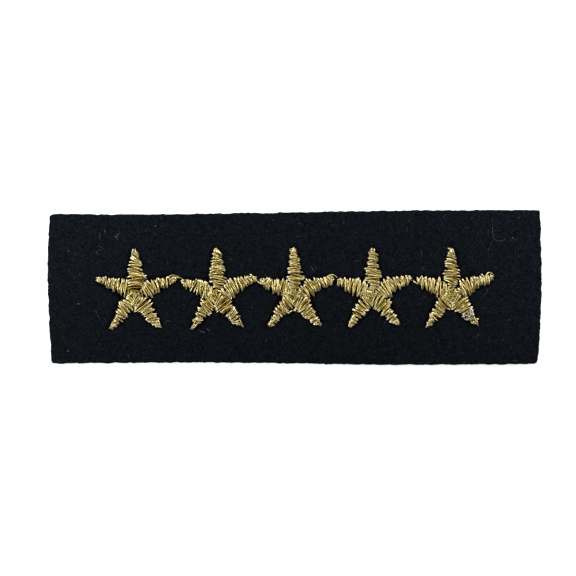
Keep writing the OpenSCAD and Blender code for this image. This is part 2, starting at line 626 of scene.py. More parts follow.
def dress(piece: Piece, material: Material) -> Piece:
    """Gives a finished piece its material and fixes it to the patch.

    Args:
        piece: The piece.
        material: Its material.

    Returns:
        The piece.
    """
    piece.data.materials.clear()
    piece.data.materials.append(material)
    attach(piece, "root")
    return piece


@dataclass
class Profile:
    """A size that changes along an arm, between named stations."""

    stations: list[float]
    sizes: list[float]

    def at(self, station: float) -> float:
        """Returns the size at a station."""
        return float(np.interp(station, self.stations, self.sizes))


def corners_of(node: str) -> np.ndarray:
    """Reads the corners of a solid.

    Args:
        node: The solid's name.

    Returns:
        Its corners in mm, as rows of x, y and z.
    """
    mesh = bpy.data.objects[node].data
    flat = np.zeros(len(mesh.vertices) * 3)
    mesh.vertices.foreach_get("co", flat)
    return flat.reshape(-1, 3) / MM


def left_of(way: np.ndarray) -> np.ndarray:
    """Returns the direction to the left of another one."""
    return np.array([-way[1], way[0]])


# Where an arm's solid starts, in mm from its star's middle, and how far apart, in
# mm, two of its corners may be at one station or at one height.
ARM_START = 0.5
SAME_STATION = 0.02
SAME_HEIGHT = 0.001


@dataclass
class ArmShape:
    """One arm's outline and crown, read from its solid, in mm.

    A place on it is given by its distance along the arm from the star's middle,
    its distance across, positive to the left, and its height above the felt's back.
    """

    node: str
    middle: np.ndarray
    direction: np.ndarray
    reach: float
    edges: dict[Side, Profile]
    crown: Profile

    @classmethod
    def read(cls, node: str, middle: np.ndarray, direction: np.ndarray) -> ArmShape:
        """Reads an arm from its solid.

        Args:
            node: The solid's name.
            middle: The star's middle.
            direction: The way the arm points.

        Returns:
            The arm's shape.
        """
        corners = corners_of(node)
        along = (corners[:, :2] - middle) @ direction
        across = (corners[:, :2] - middle) @ left_of(direction)
        stations = sorted({round(float(u), 2) for u in along})
        edges = {Side.LEFT: [], Side.RIGHT: []}
        crown = []
        for station in stations:
            here = np.abs(along - station) < SAME_STATION
            edges[Side.LEFT].append(float(across[here].max()))
            edges[Side.RIGHT].append(float(-across[here].min()))
            crown.append(float(corners[here, 2].max()))
        profiles = {side: Profile(stations, sizes) for side, sizes in edges.items()}
        return cls(node, middle, direction, stations[-1], profiles, Profile(stations, crown))

    def place(self, along: float, across: float, height: float) -> Point:
        """Turns a place on the arm into a point in the shared frame, in metres."""
        x, y = self.middle + self.direction * along + left_of(self.direction) * across
        return (x * MM, y * MM, height * MM)


def read_star(number: int) -> dict[Arm, ArmShape]:
    """Reads the arms of one star from their solids.

    Args:
        number: The star's number, from the left.

    Returns:
        Each arm's shape. An arm's end is square across it, which gives its
        direction, and its root stands ARM_START from the star's middle.
    """
    nodes = {arm: f"star_{number}_arm_{arm.value}" for arm in Arm}
    rough = np.mean([corners_of(node)[:, :2].mean(0) for node in nodes.values()], axis=0)
    ways, roots = [], []
    for node in nodes.values():
        corners = corners_of(node)
        base = corners[corners[:, 2] < corners[:, 2].min() + SAME_HEIGHT][:, :2]
        base = np.unique(base.round(4), axis=0)
        base = base[np.argsort(np.linalg.norm(base - rough, axis=1))]
        root, tip = base[:2], base[-2:]
        across = tip[1] - tip[0]
        way = -left_of(across) / np.linalg.norm(across)
        if way @ (tip[0] - root[0]) < 0:
            way = -way
        ways.append(way)
        roots.append(way @ root[0] - ARM_START)
    middle = np.linalg.lstsq(np.array(ways), np.array(roots), rcond=None)[0]
    return {arm: ArmShape.read(nodes[arm], middle, way) for arm, way in zip(Arm, ways)}


@dataclass
class ThreadPath:
    """The points that one length of thread follows, with its thickness at each."""

    points: list[Point] = field(default_factory=list)
    thickness: list[float] = field(default_factory=list)

    def add(self, point: Point, thickness: float = 1.0) -> None:
        """Adds a point, with the thread's thickness there as a share of its own."""
        self.points.append(point)
        self.thickness.append(thickness)


@dataclass(frozen=True)
class Thread:
    """How a thread is built round its path.

    Attributes:
        width: Across the thread, where it lies flat.
        flatness: Its height as a share of its width.
        twist: The length of one full turn.
        ring: Distance from one ring of faces to the next.
        sides: Faces round it.
    """

    width: float
    flatness: float
    twist: float
    ring: float
    sides: int

    def sweep_group(self, name: str) -> Tree:
        """Makes the geometry group that sweeps the thread along a curve.

        Args:
            name: The group's name.

        Returns:
            The group.
        """
        sketch, given = new_group(Kind.GEOMETRY, name, ("Path",), ("Thread",))
        smooth = sketch.out("GeometryNodeCurveSplineType", {"Curve": given[0]}, spline_type="CATMULL_ROM")
        even = sketch.out("GeometryNodeResampleCurve", {"Curve": smooth, "Length": self.ring}, mode="LENGTH")
        length = sketch.add("GeometryNodeSplineParameter").outputs["Length"]
        slope = sketch.math("ABSOLUTE", sketch.part(sketch.out("GeometryNodeInputTangent"), 2))
        marked = sketch.store(sketch.store(even, THREAD_ALONG, length), THREAD_DIVE, slope)
        own_tilt = sketch.out("GeometryNodeInputCurveTilt")
        tilt = sketch.math("MULTIPLY_ADD", length, math.tau / self.twist, own_tilt)
        turned = sketch.out("GeometryNodeSetCurveTilt", {"Curve": marked, "Tilt": tilt})
        ring = sketch.out("GeometryNodeCurvePrimitiveCircle", {"Resolution": self.sides, "Radius": 1.0})
        place = sketch.out("GeometryNodeInputPosition")
        named = sketch.store(ring, THREAD_AROUND, place, "FLOAT_VECTOR")
        half = self.width / 2
        radii = (half, half * self.flatness, half)
        oval = sketch.out("ShaderNodeVectorMath", {0: place, 1: radii}, operation="MULTIPLY")
        flat = sketch.out("GeometryNodeSetPosition", {"Geometry": named, "Position": oval})
        scale = sketch.out("GeometryNodeInputRadius")
        values = {"Curve": turned, "Profile Curve": flat, "Scale": scale, "Fill Caps": True}
        swept = sketch.out("GeometryNodeCurveToMesh", values)
        return sketch.end({0: sketch.out("GeometryNodeSetShadeSmooth", {"Geometry": swept})})


class Needle:
    """Turns thread paths into meshes. Each kind of thread has one group."""

    def __init__(self) -> None:
        """Starts with no groups."""
        self.groups: dict[Thread, Tree] = {}

    def sew(self, name: str, paths: list[ThreadPath], thread: Thread, rng: random.Random) -> Piece:
        """Sweeps a thread along each of several paths and joins them in one mesh.

        Args:
            name: The piece's name.
            paths: The paths.
            thread: The kind of thread.
            rng: The source of each path's own twist.

        Returns:
            The piece.
        """
        if thread not in self.groups:
            self.groups[thread] = thread.sweep_group(f"thread_{len(self.groups)}")
        curve = bpy.data.curves.new(name, "CURVE")
        curve.dimensions = "3D"
        for path in paths:
            spline = curve.splines.new("POLY")
            spline.points.add(len(path.points) - 1)
            start = rng.uniform(0, math.tau)
            for dot, point, thickness in zip(spline.points, path.points, path.thickness):
                dot.co = (*point, 1.0)
                dot.radius = thickness
                dot.tilt = start
        piece = new_object(name, curve)
        piece.modifiers.new("sweep", "NODES").node_group = self.groups[thread]
        select_only(piece)
        bpy.ops.object.convert(target="MESH")
        return bpy.context.view_layer.objects.active


GOLD = Thread(width=0.38 * MM, flatness=0.66, twist=6.0 * MM, ring=0.18 * MM, sides=7)
UNDER = Thread(width=0.31 * MM, flatness=0.9, twist=4.2 * MM, ring=0.25 * MM, sides=6)
BOBBIN = Thread(width=0.24 * MM, flatness=0.8, twist=1.6 * MM, ring=0.16 * MM, sides=6)
HAIR = Thread(width=0.075 * MM, flatness=0.9, twist=3.0 * MM, ring=0.12 * MM, sides=4)


@dataclass(frozen=True)
class Hand:
    """How one arm of every star is stitched. Lengths are in mm, angles in degrees.

    Attributes:
        leans: How far the stitches turn anticlockwise from square across the arm,
            at the stations that LEAN_STATIONS names.
        root_half: The least half width of the stitches near the root, left and right.
        lift: How far the root stitches ride over those of the arms sewn before.
        bow: How far the stitches bow towards the tip, at the root and the tip.
        tips: How far back from the tip its closing stitches start.
        tip_over: How far they reach past the solid's tip.
        tip_slim: How much narrower than the solid the last rows get on each side.
    """

    leans: tuple[float, float, float, float]
    root_half: Span
    lift: float
    bow: Span
    tips: tuple[float, ...]
    tip_over: float = 0.0
    tip_slim: float = 0.0


LEAN_STATIONS = (0.0, 0.25, 0.55, 1.0)
HANDS = {
    Arm.TOP: Hand((-11, -11, -12, -18), (1.2, 1.2), 0.12, (0.05, 0.25), (1.9, 1.4, 1.1), 0.0, 0.08),
    Arm.UPPER_LEFT: Hand((14, 8, 3, 8), (2.1, 1.3), 0.0, (-0.05, 0.1), (1.8, 1.2)),
    Arm.LOWER_LEFT: Hand((6, -9, -7, -13), (0.9, 2.0), 0.15, (0.0, 0.2), (2.8, 2.2, 1.5), 0.0, 0.26),
    Arm.LOWER_RIGHT: Hand((38, 13, -5, -18), (1.0, 2.6), 0.45, (0.0, 0.2), (1.9, 1.4, 1.2), 0.2, 0.2),
    Arm.UPPER_RIGHT: Hand((30, 10, 2, -8), (0.3, 2.1), 0.35, (0.0, 0.2), (1.6, 1.1, 1.0), 0.0, 0.05),
}

# Arms that are stitched in a way of their own, by star and arm. The first star's
# top arm has its widest rows at the root, and its arms leave a dark gap below them.
OWN_HANDS = {
    (star, arm): replace(HANDS[arm], **own)
    for star, arm, own in (
        (1, Arm.TOP, {"root_half": (2.5, 2.3), "bow": (0.3, 0.25)}),
        (1, Arm.LOWER_RIGHT, {"leans": (24, 10, -6, -20), "root_half": (0.3, 2.7)}),
        (1, Arm.UPPER_RIGHT, {"leans": (-12, 4, 2, -8)}),
        (2, Arm.LOWER_LEFT, {"tip_over": 0.3}),
        (2, Arm.LOWER_RIGHT, {"tip_over": 0.65}),
        (3, Arm.LOWER_RIGHT, {"tip_over": 0.5}),
        (5, Arm.UPPER_RIGHT, {"tips": (1.3,)}),
    )
}

# How the stitching of each arm sits on its solid, for stars 1 to 5: where its first
# stitch crosses the middle line, from the star's middle, how far it lies to the left
# of the solid's middle, and how much wider it is on each side, all in mm.
SEATS = {
    Arm.TOP: ((1.45, -0.2, 0.0), (1.3, -0.25, 0.0), (1.1, 0.0, 0.0), (0.5, 0.0, 0.05), (0.5, 0.1, 0.0)),
    Arm.UPPER_LEFT: (
        (2.3, -0.2, -0.15), (1.2, 0.2, 0.1), (1.3, 0.0, 0.05), (0.9, 0.05, 0.25), (0.8, 0.3, 0.22)
    ),
    Arm.LOWER_LEFT: (
        (0.4, 0.45, 0.0), (0.5, 0.1, -0.05), (0.1, 0.35, 0.05), (0.0, 0.2, 0.05), (0.2, 0.25, 0.05)
    ),
    Arm.LOWER_RIGHT: (
        (0.4, -0.2, 0.0), (0.7, -0.15, 0.1), (0.3, -0.35, 0.1), (0.8, 0.0, 0.0), (0.3, 0.15, 0.0)
    ),
    Arm.UPPER_RIGHT: (
        (1.8, -0.25, 0.0), (0.6, -0.1, 0.1), (0.3, -0.2, 0.15), (0.5, -0.15, 0.15), (0.5, -0.15, 0.1)
    ),
}


@dataclass(frozen=True)
class Hole:
    """A hole that the needle makes, in mm along and across an arm.

    Attributes:
        along: Distance along the arm.
        across: Distance across it, positive to the left.
        inner: How far across the gold loop on the back reaches.
    """

    along: float
    across: float
    inner: float = 0.0


@dataclass
class SatinArm:
    """One arm of satin stitch: a single gold thread that zigzags over the arm.

    The thread goes down and comes up again in each hole, by turns on the left and
    on the right. Lengths are in mm, angles in degrees.
    """

    shape: ArmShape
    hand: Hand
    start: float
    aside: float
    wider: float
    rng: random.Random
    face: float
    rows: list[Hole] = field(init=False)
    # The rows of the satin and of the first pass under it
    pass_pitch: float = 0.345
    pitch_drift: float = 0.32
    edge_inset: float = 0.03
    lower_pitch: float = 0.42
    lower_inset: float = 0.42
    lower_drop: float = 0.24
    lower_lead: float = 1.4
    lower_first: float = -0.5
    last_gap: float = 0.3
    lean_wander: float = 4.0
    lean_drift: float = 6.5
    hold: float = 0.45
    # Where each row ends
    end_drift: float = 0.19
    stray_share: float = 0.2
    stray_reach: float = 0.4
    stray_sizes: Span = (0.3, 1)
    least_half_row: float = 0.12
    root_end: float = 3.6
    slim_length: float = 3.0
    # How each stitch rides over the arm
    bow_drift: float = 0.13
    rise_drift: float = 0.11
    sizes: Span = (0.9, 1.08)
    end_thickness: float = 0.6
    thread_half: float = 0.15
    hole_half: float = 0.05
    ride: float = 0.2
    sink: float = 0.25
    shoulder: float = 0.6
    swelling: float = 0.5
    lift_fade: float = 3
    # Stitches that cross the rows, and those that close the tip
    cross_share: float = 0.12
    cross_rise: float = 0.14
    cross_rows: int = 3
    tip_backs: Span = (0.85, 1.15)
    tip_roots: Span = (0.2, 0.8)
    tip_gaps: Span = (-0.1, 0.3)
    tip_half: float = 0.5
    # The runs under the satin
    run_share: float = 0.4
    run_lead: float = 0.2
    run_gap: float = 1.0
    run_least_half: float = 0.8
    run_drift: float = 0.06
    run_depth: float = 0.5
    # The gold loops on the back, and the bobbin thread that holds them
    back_height: float = 0.2
    back_share: float = 0.3
    back_sizes: Span = (0.8, 1.2)
    back_thickness: float = 0.72
    back_knee: float = 0.15
    bobbin_height: float = 0.17
    bobbin_hook: float = 0.12
    bobbin_half: float = 0.08
    bobbin_rise: float = 0.06

    def __post_init__(self) -> None:
        """Lays out the holes of the satin thread."""
        self.rows = self.holes(self.start, self.pass_pitch, self.edge_inset)

    def half_row(self, side: Side, along: float) -> float:
        """Returns the rows' half width at a place, which near the root fills the star's middle."""
        least = self.hand.root_half[0 if side is Side.LEFT else 1] if along <= self.root_end else 0.0
        return max(self.shape.edges[side].at(along), least)

    def hole(self, along: float, lean: float, side: Side, inset: float) -> Hole:
        """Follows a stitch from the arm's middle line to the hole at one edge.

        Args:
            along: Where the stitch crosses the middle line.
            lean: The stitch's turn from square across, in radians.
            side: The edge.
            inset: How far inside the edge the hole is.

        Returns:
            The hole.
        """
        step = 0.02
        far = 0.0
        widest = 4.5
        while far < widest:
            u = along - side.value * far * math.sin(lean)
            edge = self.half_row(side, u) - inset
            edge += self.wider + side.value * self.aside
            edge -= self.hand.tip_slim * max(0.0, 1 - (self.shape.reach - u) / self.slim_length)
            if far * math.cos(lean) >= edge or u > self.shape.reach:
                break
            far += step
        drift = self.rng.gauss(0, self.end_drift)
        if self.rng.random() < self.stray_share:
            drift += self.rng.uniform(*self.stray_sizes) * self.stray_reach
        far = max(self.least_half_row, far + drift)
        across = side.value * far * math.cos(lean)
        inner = across * (1 - self.back_share * self.rng.uniform(*self.back_sizes))
        return Hole(along - side.value * far * math.sin(lean), across, inner)

    def holes(self, first: float, pitch: float, inset: float) -> list[Hole]:
        """Lays out the holes from root to tip, by turns on the left and on the right.

        Args:
            first: Where the first stitch crosses the arm's middle line.
            pitch: The distance along the arm from one stitch to the next.
            inset: How far inside the edge the holes are.

        Returns:
            The holes.
        """
        out = []
        along = first
        side = Side.LEFT
        leans = [lean + self.rng.gauss(0, self.lean_wander) for lean in self.hand.leans]
        turn = 0.0
        while along < self.shape.reach - self.last_gap:
            share = along / self.shape.reach
            turn = self.hold * turn + self.rng.gauss(0, self.lean_drift)
            lean = math.radians(float(np.interp(share, LEAN_STATIONS, leans)) + turn)
            out.append(self.hole(along, lean, side, inset))
            along += pitch / math.cos(lean) * (1 + self.rng.uniform(-1, 1) * self.pitch_drift)
            side = Side.RIGHT if side is Side.LEFT else Side.LEFT
        return out

    def top_of(self, along: float) -> float:
        """Returns the height that the thread's middle runs at, at a place along the arm."""
        lift = self.hand.lift * max(0.0, 1 - max(0.0, along / self.shape.reach) * self.lift_fade)
        return self.shape.crown.at(along) - self.thread_half + lift

    def arch(
        self, path: ThreadPath, start: Hole, end: Hole, lift: float = 0.0, sway: float = 0.0
    ) -> ThreadPath:
        """Adds one stitch over the arm, from the hole it comes out of to the one it goes down.

        Args:
            path: The thread's path so far.
            start: The hole that it comes out of.
            end: The hole that it goes down.
            lift: How far it rides over the other stitches.
            sway: How much more than its neighbours' mean it bows towards the tip.

        Returns:
            The path.
        """
        bow = float(np.interp(start.along / self.shape.reach, [0, 1], self.hand.bow)) + sway
        rise = self.rng.gauss(0, self.rise_drift) + lift
        size = self.rng.uniform(*self.sizes)
        low = self.face - self.sink
        steps = 8
        for k in range(steps + 1):
            turn = math.pi * k / steps
            up = max(0.0, math.sin(turn))
            share = (1 - math.cos(turn)) / 2
            along = start.along + (end.along - start.along) * share + bow * math.sin(turn) ** 2
            along += self.hole_half * math.cos(turn)
            across = start.across + (end.across - start.across) * share
            high = self.top_of(along) + rise
            height = low + (high - low) * up**self.shoulder
            height += self.ride * math.cos(turn) * math.sin(turn)
            thickness = self.end_thickness + (1 - self.end_thickness) * up**self.swelling
            path.add(self.shape.place(along, across, height), size * thickness)
        return path

    def turn_below(self, path: ThreadPath, hole: Hole) -> None:
        """Adds the loop on the back, where the bobbin thread holds the gold one.

        Args:
            path: The thread's path so far.
            hole: The hole that it goes down and comes up.
        """
        down = (
            (hole.across, self.face / 2),
            (hole.across, self.back_height + self.back_knee),
            ((hole.across + hole.inner) / 2, self.back_height),
        )
        stops = [(hole.along - self.hole_half, *stop) for stop in down]
        stops.append((hole.along, hole.inner, self.back_height))
        stops += [(hole.along + self.hole_half, *stop) for stop in reversed(down)]
        for stop in stops:
            path.add(self.shape.place(*stop), self.back_thickness)

    def satin_path(self) -> ThreadPath:
        """Follows the satin thread from the first stitch to the last.

        Returns:
            Its path.
        """
        path = ThreadPath()
        sway = 0.0
        for start, end in zip(self.rows, self.rows[1:]):
            sway = self.hold * sway + self.rng.gauss(0, self.bow_drift)
            self.arch(path, start, end, 0.0, sway)
            if end is not self.rows[-1]:
                self.turn_below(path, end)
        return path

    def lower_path(self) -> ThreadPath:
        """Follows the first pass, which shows dark between the stitches over it.

        Returns:
            Its path.
        """
        path = ThreadPath()
        first = max(self.lower_first, self.start - self.lower_lead)
        holes = self.holes(first, self.lower_pitch, self.lower_inset)
        for start, end in zip(holes, holes[1:]):
            self.arch(path, start, end, -self.lower_drop, self.rng.gauss(0, self.bow_drift))
        return path

    def crossing_paths(self) -> list[ThreadPath]:
        """Follows the stitches that lie across their neighbours, where the thread was slack.

        Returns:
            Their paths.
        """
        return [
            self.arch(ThreadPath(), start, end, self.cross_rise)
            for start, end in zip(self.rows, self.rows[self.cross_rows :])
            if self.rng.random() < self.cross_share
        ]

    def underlay_paths(self) -> list[ThreadPath]:
        """Follows the threads that run along the arm under the satin.

        Returns:
            Their paths.
        """
        paths = []
        first = self.start - self.run_lead
        last = self.shape.reach - self.run_gap
        steps = 7
        for side in (Side.RIGHT, Side.LEFT):
            path = ThreadPath()
            for k in range(steps + 1):
                along = first + (last - first) * k / steps
                half = max(self.shape.edges[side].at(along), self.run_least_half)
                height = self.top_of(along) - self.run_depth
                if k in (0, steps):
                    height = self.face - self.sink
                across = side.value * self.run_share * half + self.rng.gauss(0, self.run_drift)
                path.add(self.shape.place(along, across, height))
            paths.append(path)
        return paths

    def tip_paths(self) -> list[ThreadPath]:
        """Follows the long stitches that close the arm's tip.

        Returns:
            Their paths.
        """
        paths = []
        for k, back in enumerate(self.hand.tips):
            side = Side.LEFT if k % 2 == 0 else Side.RIGHT
            root = self.shape.reach - back * self.rng.uniform(*self.tip_backs)
            half = self.shape.edges[side].at(root)
            start = Hole(root, side.value * half * self.rng.uniform(*self.tip_roots))
            last = self.shape.reach + self.hand.tip_over - self.rng.uniform(*self.tip_gaps)
            end = Hole(last, self.rng.uniform(-1, 1) * (self.tip_half - self.hand.tip_slim))
            paths.append(self.arch(ThreadPath(), start, end, self.cross_rise / 2))
        return paths

    def bobbin_path(self) -> ThreadPath:
        """Follows the bobbin thread from one gold loop to the next on the back.

        Returns:
            Its path.
        """
        path = ThreadPath()
        for hole in self.rows:
            hook = math.copysign(self.bobbin_hook, hole.across)
            for half, aside, rise in (
                (-self.bobbin_half, 0.0, 0.0),
                (0.0, hook, self.bobbin_rise),
                (self.bobbin_half, 0.0, 0.0),
            ):
                path.add(self.shape.place(hole.along + half, hole.inner + aside, self.bobbin_height + rise))
        return path

    def build(self, name: str, needle: Needle, finishes: Finishes) -> list[Piece]:
        """Sews the arm and puts it in its solid's place.

        Args:
            name: The end of the pieces' names.
            needle: Makes meshes of thread paths.
            finishes: The materials.

        Returns:
            The gold stitches, the first pass under them and the bobbin thread on
            the back.
        """
        upper = [self.satin_path(), *self.crossing_paths(), *self.tip_paths()]
        stitches = needle.sew(f"stitches_{name}", upper, GOLD, self.rng)
        dress(stitches, finishes.gold)
        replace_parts(stitches, self.shape.node)
        lower = [self.lower_path(), *self.underlay_paths()]
        under = needle.sew(f"first_pass_{name}", lower, UNDER, self.rng)
        # The first pass takes the darker copy of the gold, painted shade.
        dress(under, finishes.under)
        bobbin = needle.sew(f"bobbin_{name}", [self.bobbin_path()], BOBBIN, self.rng)
        return [stitches, under, dress(bobbin, finishes.white)]


@dataclass(frozen=True)
class Press:
    """How the stitching presses on one side of the felt.

    Attributes:
        name: The vertex group that says how hard it presses.
        depth: How far the felt moves along +Z where it is pressed fully.
        near: Up to this distance from the arms it is pressed fully.
        far: From this distance on it isn't pressed.
    """

    name: str
    depth: float
    near: float
    far: float


FACE = Press("face_area", -0.12 * MM, 0.35 * MM, 1.0 * MM)
BACK = Press("back_area", 0.36 * MM, 0.05 * MM, 0.7 * MM)


@dataclass
class FeltStrip:
    """The felt: a softened copy of its solid, dented by the stitching.

    Attributes:
        felt: The felt itself.
        voxel: The size of its faces.
        face_drop: How far under its face the stitching is taken to press.
        low_part: Up to this height it has no lumps.
        level: How far up or down its face points at least, from 0 to 1, and its
            cut edge less.
        lumps: The size and height of the lumps, and whether only the edge has them.
    """

    felt: Piece = field(init=False)
    voxel: float = 0.4 * MM
    face_drop: float = 0.3 * MM
    low_part: float = 0.3 * MM
    level: float = 0.75
    lumps: tuple[tuple[float, float, bool], ...] = (
        (5.0 * MM, 0.12 * MM, False),
        (0.9 * MM, 0.05 * MM, False),
        (1.9 * MM, 0.40 * MM, True),
        (0.8 * MM, 0.32 * MM, True),
    )

    def __post_init__(self) -> None:
        """Starts with a copy of the solid."""
        self.felt = copy_of_node("felt_ground", "felt_strip")

    def press(self, arms: list[ArmShape], height: float, press: Press) -> None:
        """Presses the felt along Z where it lies close to the arms.

        Args:
            arms: The arms, of which a flat copy stands for the stitching.
            height: The height that the copy lies at.
            press: How the stitching presses there.
        """
        parts = [copy_of_node(arm.node, f"{press.name}_{k}") for k, arm in enumerate(arms)]
        select_only(*parts)
        bpy.ops.object.join()
        area = parts[0]
        with editing(area):
            bpy.ops.transform.resize(value=(1, 1, 0), center_override=(0, 0, height))
        group = self.felt.vertex_groups.new(name=press.name)
        group.add(range(len(self.felt.data.vertices)), 1.0, "REPLACE")
        apply_modifier(
            self.felt,
            "VERTEX_WEIGHT_PROXIMITY",
            vertex_group=press.name,
            target=area,
            proximity_mode="GEOMETRY",
            proximity_geometry={"FACE"},
            min_dist=press.far,
            max_dist=press.near,
            falloff_type="SMOOTH",
        )
        push = {"direction": "Z", "mid_level": 0.0, "strength": press.depth}
        apply_modifier(self.felt, "DISPLACE", vertex_group=press.name, **push)
        bpy.data.objects.remove(area)

    def felted(self, lump: float, height: float, edge_only: bool) -> None:
        """Raises soft lumps on the felt's face and edges.

        Args:
            lump: The lumps' size.
            height: Their height, from the lowest to the highest.
            edge_only: Whether only the cut edge gets them.
        """
        texture = bpy.data.textures.new("felted", "CLOUDS")
        texture.noise_scale = lump
        texture.noise_depth = 1
        group = self.felt.vertex_groups.new(name="face")
        upper = [
            v.index
            for v in self.felt.data.vertices
            if v.co.z > self.low_part and not (edge_only and abs(v.normal.z) > self.level)
        ]
        group.add(upper, 1.0, "REPLACE")
        push = {"direction": "NORMAL", "mid_level": 0.5, "strength": height}
        place = {"vertex_group": "face", "texture": texture, "texture_coords": "LOCAL"}
        apply_modifier(self.felt, "DISPLACE", **place, **push)
        self.felt.vertex_groups.remove(self.felt.vertex_groups["face"])

    def mark_pressed(self) -> None:
        """Stores how hard the stitching presses on the felt, which its finish turns into painted shade round
        the stitching.
        """
        sketch, given = new_group(Kind.GEOMETRY, "mark_pressed", ("Felt",), ("Felt",))
        weight = sketch.out("GeometryNodeInputNamedAttribute", {"Name": FACE.name}, data_type="FLOAT")
        tree = sketch.end({0: sketch.store(given[0], FELT_PRESSED, weight)})
        apply_modifier(self.felt, "NODES", node_group=tree)

    def build(self, arms: list[ArmShape], finishes: Finishes) -> Piece:
        """Builds the felt and puts it in its solid's place.

        Args:
            arms: The arms that press on it.
            finishes: The materials.

        Returns:
            The felt.
        """
        low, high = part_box("felt_ground")
        apply_modifier(self.felt, "REMESH", mode="VOXEL", voxel_size=self.voxel, use_smooth_shade=True)
        apply_modifier(self.felt, "SMOOTH", factor=0.5, iterations=2)
        self.press(arms, high.z - self.face_drop, FACE)
        self.press(arms, low.z, BACK)
        self.felt.vertex_groups.remove(self.felt.vertex_groups[BACK.name])
        for lump in self.lumps:
            self.felted(*lump)
        self.mark_pressed()
        felt = dress(self.felt, finishes.felt)
        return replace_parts(felt, "felt_ground")


@dataclass(frozen=True)
class Fibres:
    """Loose fibres on the felt: one bent fibre, scattered over a kind of place.

    Attributes:
        name: The piece's name.
        length: The fibre's length.
        width: Its thickness.
        per_square_mm: How many lie on each square mm.
        shortest: The least share of the length that a fibre has.
        tilt: How far a fibre stands up or dips, in degrees.
        on_edge: Whether they grow on the cut edge, and not on the face.
        bend: How far a fibre's middle stands aside, as a share of its length.
        rise: How far it stands up, in widths.
        level: How far up the face points at least, from 0 to 1, and the edge less.
        foot: Up to this height the edge has none.
        pressed: How hard the stitching presses at most where the face has fibres.
    """

    name: str
    length: float
    width: float
    per_square_mm: float
    shortest: float
    tilt: float
    on_edge: bool = False
    bend: float = 0.3
    rise: float = 2
    level: float = 0.6
    foot: float = 0.35 * MM
    pressed: float = 0.35

    def one(self) -> Piece:
        """Models one fibre along X, bent sideways and up a little.

        Returns:
            The fibre.
        """
        bpy.ops.object.select_all(action="DESELECT")
        bpy.ops.mesh.primitive_circle_add(
            vertices=3,
            radius=self.width / 2,
            fill_type="NGON",
            location=(-self.length / 2, 0, 0),
            rotation=(0, math.pi / 2, 0),
        )
        fibre = bpy.context.view_layer.objects.active
        steps = 5
        with editing(fibre):
            for k in range(steps):
                turn = math.pi * (k + 0.5) / steps
                side = math.cos(turn) * self.bend * self.length * math.pi / steps
                lift = math.cos(turn) * self.width * self.rise * math.pi / steps
                move = {"value": (self.length / steps, side, lift)}
                bpy.ops.mesh.extrude_region_move(TRANSFORM_OT_translate=move)
            bpy.ops.mesh.select_all(action="SELECT")
            bpy.ops.mesh.normals_make_consistent(inside=False)
        bpy.ops.object.shade_smooth()
        bpy.ops.object.transform_apply(location=True, rotation=True, scale=True)
        return fibre

    def scatter_group(self, fibre: Piece, seed: int) -> Tree:
        """Makes the geometry group that scatters the fibre and keeps only the fibres.

        Args:
            fibre: The fibre.
            seed: The seed of their places.

        Returns:
            The group.
        """
        sketch, given = new_group(Kind.GEOMETRY, self.name, ("Felt",), ("Fibres",))
        upward = sketch.part(sketch.out("GeometryNodeInputNormal"), 2)
        place = sketch.out("GeometryNodeInputPosition")
        if self.on_edge:
            first = sketch.math("LESS_THAN", sketch.math("ABSOLUTE", upward), self.level)
            second = sketch.math("GREATER_THAN", sketch.part(place, 2), self.foot)
        else:
            weight = sketch.out("GeometryNodeInputNamedAttribute", {"Name": FACE.name}, data_type="FLOAT")
            first = sketch.math("LESS_THAN", weight, self.pressed)
            second = sketch.math("GREATER_THAN", upward, self.level)
        where = {"Mesh": given[0], "Selection": sketch.math("MULTIPLY", first, second)}
        how = {"Density": self.per_square_mm / MM**2, "Seed": seed}
        points = sketch.add("GeometryNodeDistributePointsOnFaces", {**where, **how}).outputs
        tilt = math.radians(self.tilt)
        turns = {0: (-tilt, -tilt, 0), 1: (tilt, tilt, math.tau), "Seed": seed}
        spin = sketch.out("FunctionNodeRandomValue", turns, data_type="FLOAT_VECTOR")
        turn = sketch.out("FunctionNodeEulerToRotation", {0: spin})
        ways = {0: points["Rotation"], 1: turn}
        turned = sketch.out("FunctionNodeRotateRotation", ways, rotation_space="LOCAL")
        lengths = {2: self.shortest, 3: 1.0, "Seed": seed + 1}
        size = sketch.add("FunctionNodeRandomValue", lengths, data_type="FLOAT").outputs[1]
        one = sketch.add("GeometryNodeObjectInfo", {"Object": fibre}).outputs["Geometry"]
        values = {"Points": points[0], "Instance": one, "Rotation": turned, "Scale": size}
        real = sketch.out(
            "GeometryNodeRealizeInstances", {0: sketch.out("GeometryNodeInstanceOnPoints", values)}
        )
        raised = sketch.math("MAXIMUM", sketch.part(place, 2), self.width / 2)
        spot = {0: sketch.part(place, 0), 1: sketch.part(place, 1), 2: raised}
        above = sketch.out("ShaderNodeCombineXYZ", spot)
        return sketch.end({0: sketch.out("GeometryNodeSetPosition", {"Geometry": real, "Position": above})})

    def build(self, felt: Piece, material: Material, seed: int) -> Piece:
        """Scatters the fibres over the felt.

        Args:
            felt: The felt.
            material: Their material.
            seed: The seed of their places.

        Returns:
            The fibres, as one piece.
        """
        fibre = self.one()
        piece = new_object(self.name, felt.data.copy())
        piece.data.name = self.name
        for group in felt.vertex_groups:
            piece.vertex_groups.new(name=group.name)
        apply_modifier(piece, "NODES", node_group=self.scatter_group(fibre, seed))
        bpy.data.objects.remove(fibre)
        return dress(piece, material)


NAP = Fibres("felt_nap", 0.95 * MM, 0.032 * MM, 1.1, 0.35, 14)
PALE_LINT = Fibres("felt_lint", 1.2 * MM, 0.036 * MM, 0.09, 0.25, 12)
EDGE_FUZZ = Fibres("edge_fuzz", 0.7 * MM, 0.03 * MM, 2.4, 0.3, 50, on_edge=True)


